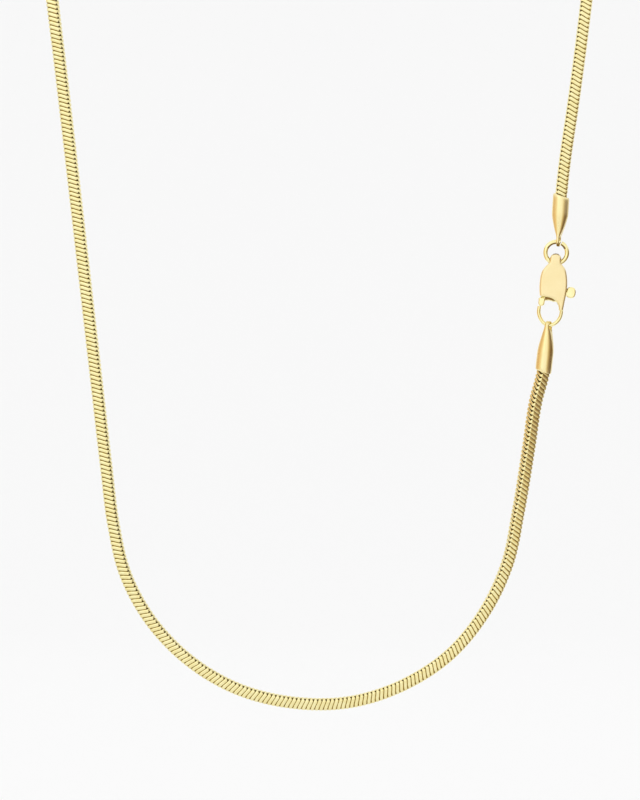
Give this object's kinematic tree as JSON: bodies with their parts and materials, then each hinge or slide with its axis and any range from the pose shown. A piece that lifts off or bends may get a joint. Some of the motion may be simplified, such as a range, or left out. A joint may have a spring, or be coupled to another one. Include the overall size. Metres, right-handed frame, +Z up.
{
  "type": "snake chain necklace",
  "caption": "Square-section snake chain necklace that hangs as a long loop, closed by a lobster clasp, a jump ring and rolled crimp ends; the clasp's lever turns.",
  "frame": {"origin": "on the inner side of the chain at the middle of the back arc, where the chain lies on the nape", "axes": "+Z up, -Y to the front, +X to the right in the picture, on the clasp's side"},
  "size_m": [0.0943, 0.0557, 0.1279],
  "materials": {
    "chain_gold": "bright gold-coloured bands with darker grooves between the links",
    "satin_gold": "satin gold colour",
    "polished_gold": "polished gold colour"
  },
  "bodies": {
    "necklace": {"snake_chain": "chain_gold", "upper_crimp": "satin_gold", "lower_crimp": "satin_gold", "jump_ring": "polished_gold", "clasp_body": "satin_gold", "clasp_rivet": "polished_gold"},
    "lever": {"clasp_lever": "polished_gold"}
  },
  "joints": [
    {"name": "lever_hinge", "type": "hinge", "parent": "necklace", "child": "lever", "pos_m": [0.03778, -0.052, -0.05633], "axis": [0, -1, 0], "range_deg": [0, 24], "stiffness_Nm_per_rad": 0.001, "springref_deg": -17.19}
  ]
}
